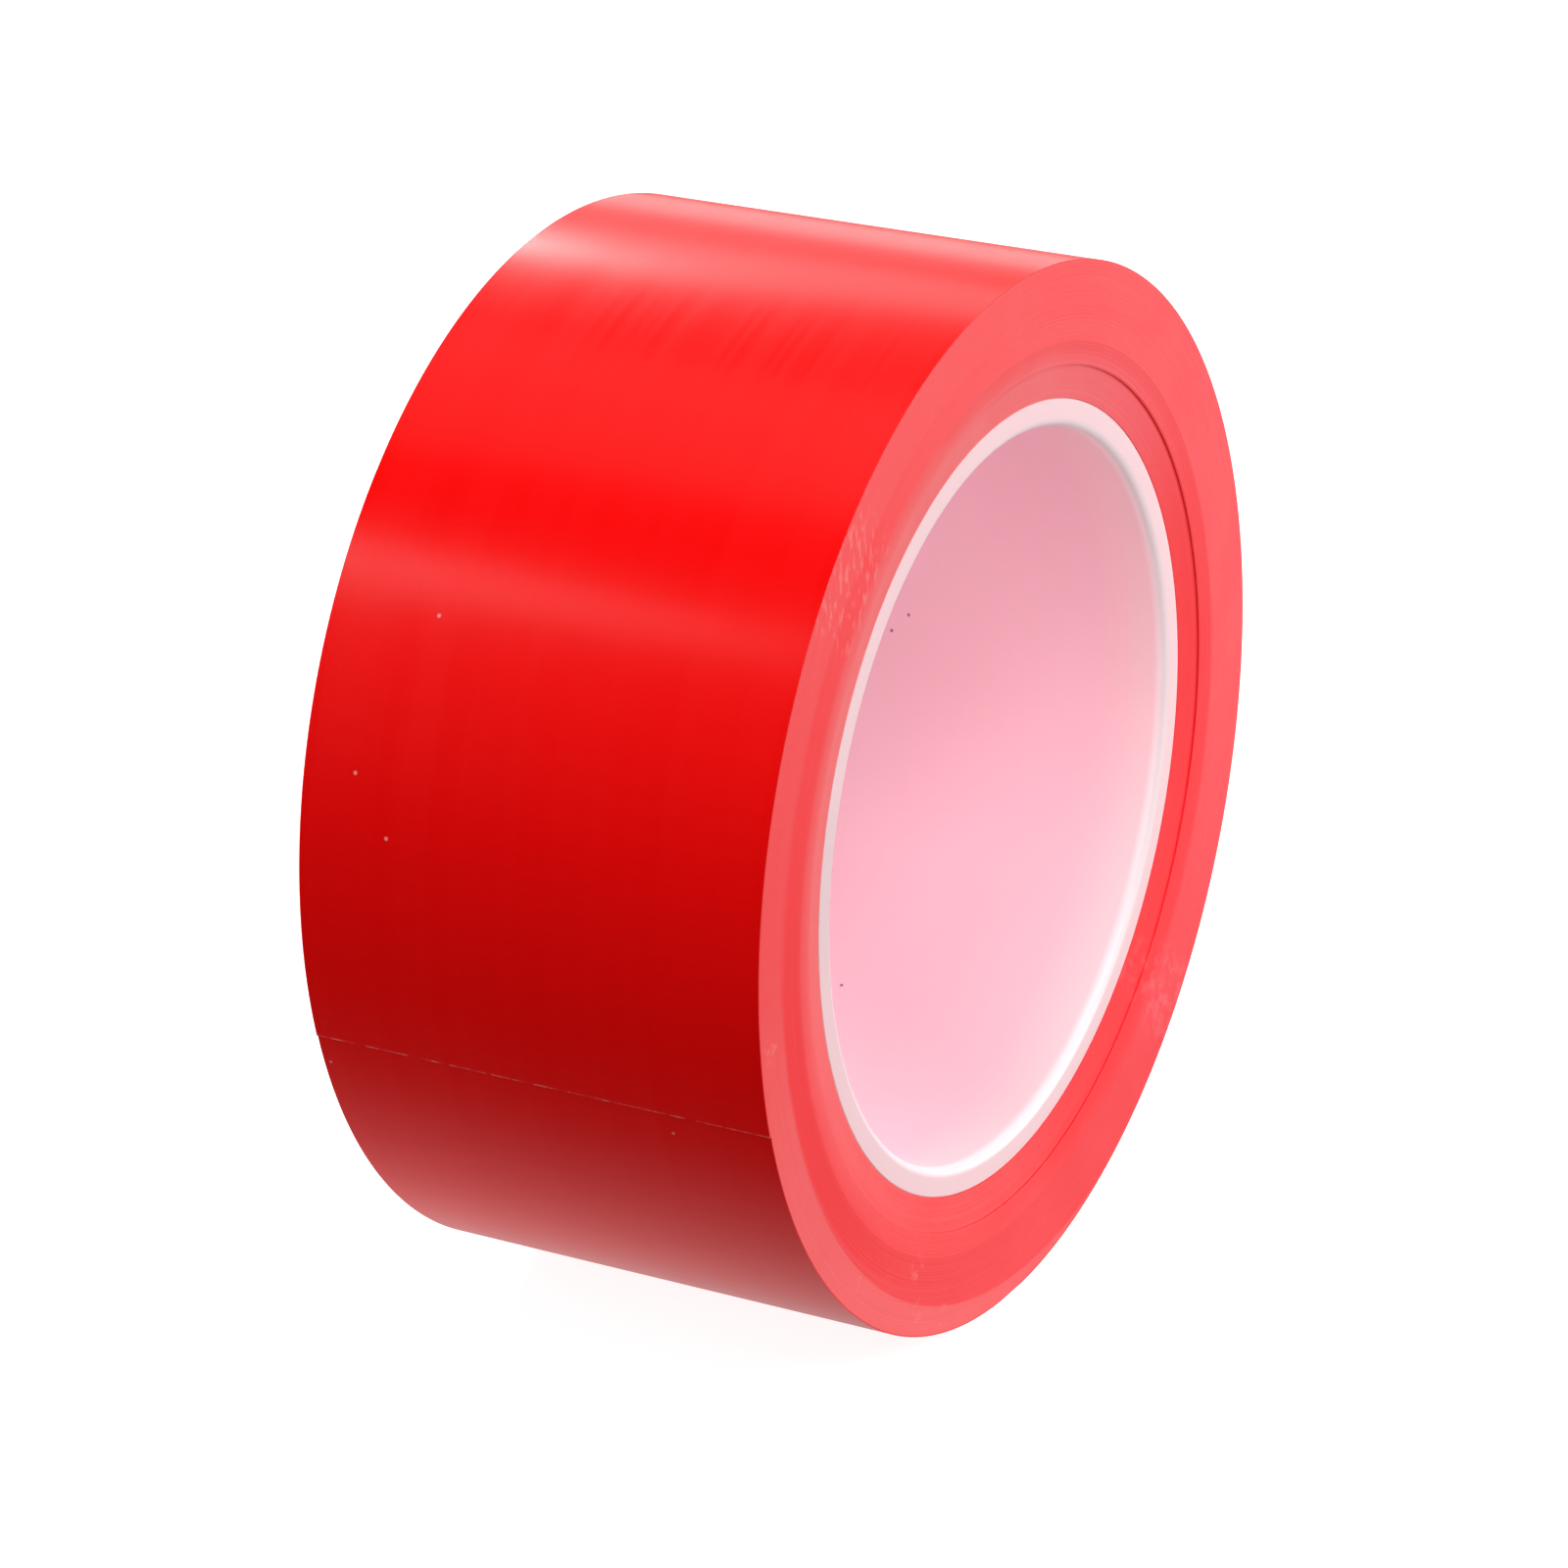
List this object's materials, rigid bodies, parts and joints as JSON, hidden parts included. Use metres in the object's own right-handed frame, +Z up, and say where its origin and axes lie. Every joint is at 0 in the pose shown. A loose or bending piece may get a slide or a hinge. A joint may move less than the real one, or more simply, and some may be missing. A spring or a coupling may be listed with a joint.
{
  "type": "tape roll",
  "caption": "Roll of glossy red vinyl tape wound on a white plastic core, standing on its rim, with a free end that peels back.",
  "frame": {"origin": "on the ground, under the middle of the roll", "axes": "+Y along the roll's axle from its front side to its back, +Z up, -X towards the side where the tape ends"},
  "size_m": [0.1106, 0.052, 0.1104],
  "materials": {
    "core_plastic": "satin white polyethylene, slightly translucent, smooth",
    "tape_film": "glossy red vinyl film",
    "tape_edges": "cut edges of the wound film, satin, with fine ring lines",
    "tape_adhesive": "tacky rubber adhesive under the film"
  },
  "bodies": {
    "roll": {"core": "core_plastic", "inner_turns": "tape_edges", "lower_turns": "tape_edges", "middle_turns": "tape_edges", "outer_turns": "tape_edges", "last_turn_adhesive": "tape_adhesive", "last_turn_film": "tape_film"},
    "tape_end_1": {"end_adhesive_1": "tape_adhesive", "end_film_1": "tape_film"},
    "tape_end_2": {"end_adhesive_2": "tape_adhesive", "end_film_2": "tape_film"},
    "tape_end_3": {"end_adhesive_3": "tape_adhesive", "end_film_3": "tape_film"},
    "tape_end_4": {"end_adhesive_4": "tape_adhesive", "end_film_4": "tape_film"},
    "tape_end_5": {"end_adhesive_5": "tape_adhesive", "end_film_5": "tape_film"},
    "tape_end_6": {"end_adhesive_6": "tape_adhesive", "end_film_6": "tape_film"},
    "tape_end_7": {"end_adhesive_7": "tape_adhesive", "end_film_7": "tape_film"},
    "tape_end_8": {"end_adhesive_8": "tape_adhesive", "end_film_8": "tape_film"}
  },
  "joints": [
    {"name": "end_peel", "type": "hinge", "parent": "roll", "child": "tape_end_1", "pos_m": [-0.03868, 0, 0.09472], "axis": [0, 1, 0], "range_deg": [0, 16]},
    {"name": "end_peel_2", "type": "hinge", "parent": "tape_end_1", "child": "tape_end_2", "pos_m": [-0.04368, 0, 0.08913], "axis": [0, 1, 0], "range_deg": [0, 16]},
    {"name": "end_peel_3", "type": "hinge", "parent": "tape_end_2", "child": "tape_end_3", "pos_m": [-0.04787, 0, 0.08292], "axis": [0, 1, 0], "range_deg": [0, 16]},
    {"name": "end_peel_4", "type": "hinge", "parent": "tape_end_3", "child": "tape_end_4", "pos_m": [-0.05119, 0, 0.07619], "axis": [0, 1, 0], "range_deg": [0, 16]},
    {"name": "end_peel_5", "type": "hinge", "parent": "tape_end_4", "child": "tape_end_5", "pos_m": [-0.05356, 0, 0.06908], "axis": [0, 1, 0], "range_deg": [0, 16]},
    {"name": "end_peel_6", "type": "hinge", "parent": "tape_end_5", "child": "tape_end_6", "pos_m": [-0.05495, 0, 0.06172], "axis": [0, 1, 0], "range_deg": [0, 16]},
    {"name": "end_peel_7", "type": "hinge", "parent": "tape_end_6", "child": "tape_end_7", "pos_m": [-0.05534, 0, 0.05423], "axis": [0, 1, 0], "range_deg": [0, 16]},
    {"name": "end_peel_8", "type": "hinge", "parent": "tape_end_7", "child": "tape_end_8", "pos_m": [-0.0547, 0, 0.04676], "axis": [0, 1, 0], "range_deg": [0, 16]}
  ],
  "couplings": [
    {"joint": "end_peel_2", "follows": "end_peel", "ratio": 1},
    {"joint": "end_peel_3", "follows": "end_peel", "ratio": 1},
    {"joint": "end_peel_4", "follows": "end_peel", "ratio": 1},
    {"joint": "end_peel_5", "follows": "end_peel", "ratio": 1},
    {"joint": "end_peel_6", "follows": "end_peel", "ratio": 1},
    {"joint": "end_peel_7", "follows": "end_peel", "ratio": 1},
    {"joint": "end_peel_8", "follows": "end_peel", "ratio": 1}
  ]
}
